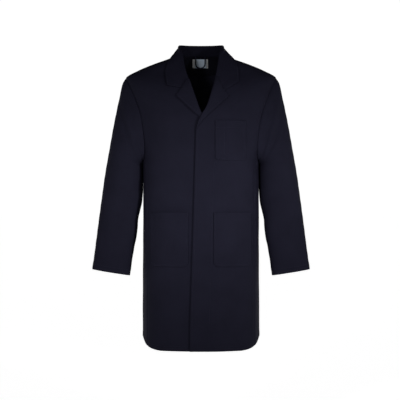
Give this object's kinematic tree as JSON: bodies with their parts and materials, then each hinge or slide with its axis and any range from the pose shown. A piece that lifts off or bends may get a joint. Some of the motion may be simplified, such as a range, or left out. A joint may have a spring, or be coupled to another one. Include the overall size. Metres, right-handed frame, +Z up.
{
  "type": "lab coat",
  "caption": "Knee-length dark lab coat with notched lapels, hidden press studs, patch pockets, long sleeves and hanger loop; fronts open and sleeves lift.",
  "frame": {"origin": "on the centre line at the height of the high shoulder points, between the shoulder seams", "axes": "+X to the wearer's left, -Y out of the front, +Z up"},
  "size_m": [0.74, 0.2593, 1.0492],
  "materials": {
    "coat_cloth": "matt navy twill",
    "facing_cloth": "matt navy twill, inner side",
    "interlining": "stiff woven interlining",
    "label_cloth": "woven satin label",
    "care_label_cloth": "printed satin tab, blank",
    "thread": "polyester thread",
    "loop_tape": "folded self-cloth tape",
    "stud_metal": "nickelled brass"
  },
  "bodies": {
    "root": {"left_back_panel": "coat_cloth", "right_back_panel": "coat_cloth", "back_neck_facing": "facing_cloth", "left_front_chest": "coat_cloth", "right_front_chest": "coat_cloth", "left_lapel": "coat_cloth", "right_lapel": "coat_cloth", "left_sleeve_cap": "coat_cloth", "right_sleeve_cap": "coat_cloth", "under_collar": "facing_cloth", "collar_interlining": "interlining", "top_collar": "coat_cloth", "neck_label": "label_cloth", "care_label": "care_label_cloth"},
    "left_front": {"left_front_panel": "coat_cloth", "left_facing": "facing_cloth", "fly_strip": "facing_cloth", "chest_pocket": "coat_cloth", "left_hip_pocket": "coat_cloth", "left_pocket_tacks": "thread", "stud_sockets": "stud_metal", "stud_caps": "stud_metal"},
    "right_front": {"right_front_panel": "coat_cloth", "right_facing": "facing_cloth", "right_hip_pocket": "coat_cloth", "right_pocket_tacks": "thread", "stud_posts": "stud_metal", "stud_rivets": "stud_metal"},
    "left_sleeve": {"left_sleeve": "coat_cloth"},
    "right_sleeve": {"right_sleeve": "coat_cloth"},
    "hanger_loop": {"hanger_loop": "loop_tape"}
  },
  "joints": [
    {"name": "left_front_open", "type": "hinge", "parent": "root", "child": "left_front", "pos_m": [0.178, -0.0694, -0.6], "axis": [0, 0, 1], "range_deg": [0, 75]},
    {"name": "right_front_open", "type": "hinge", "parent": "root", "child": "right_front", "pos_m": [-0.178, -0.0694, -0.6], "axis": [0, 0, -1], "range_deg": [0, 30]},
    {"name": "left_sleeve_lift", "type": "hinge", "parent": "root", "child": "left_sleeve", "pos_m": [0.235, 0, -0.275], "axis": [0, -1, 0], "range_deg": [0, 50]},
    {"name": "right_sleeve_lift", "type": "hinge", "parent": "root", "child": "right_sleeve", "pos_m": [-0.235, 0, -0.275], "axis": [0, 1, 0], "range_deg": [0, 50]},
    {"name": "hanger_loop_swing", "type": "hinge", "parent": "root", "child": "hanger_loop", "pos_m": [-0.002, 0.062, 0.007], "axis": [-1, 0, 0], "range_deg": [0, 150]}
  ],
  "couplings": [
    {"joint": "right_front_open", "follows": "left_front_open", "ratio": 0.4}
  ]
}
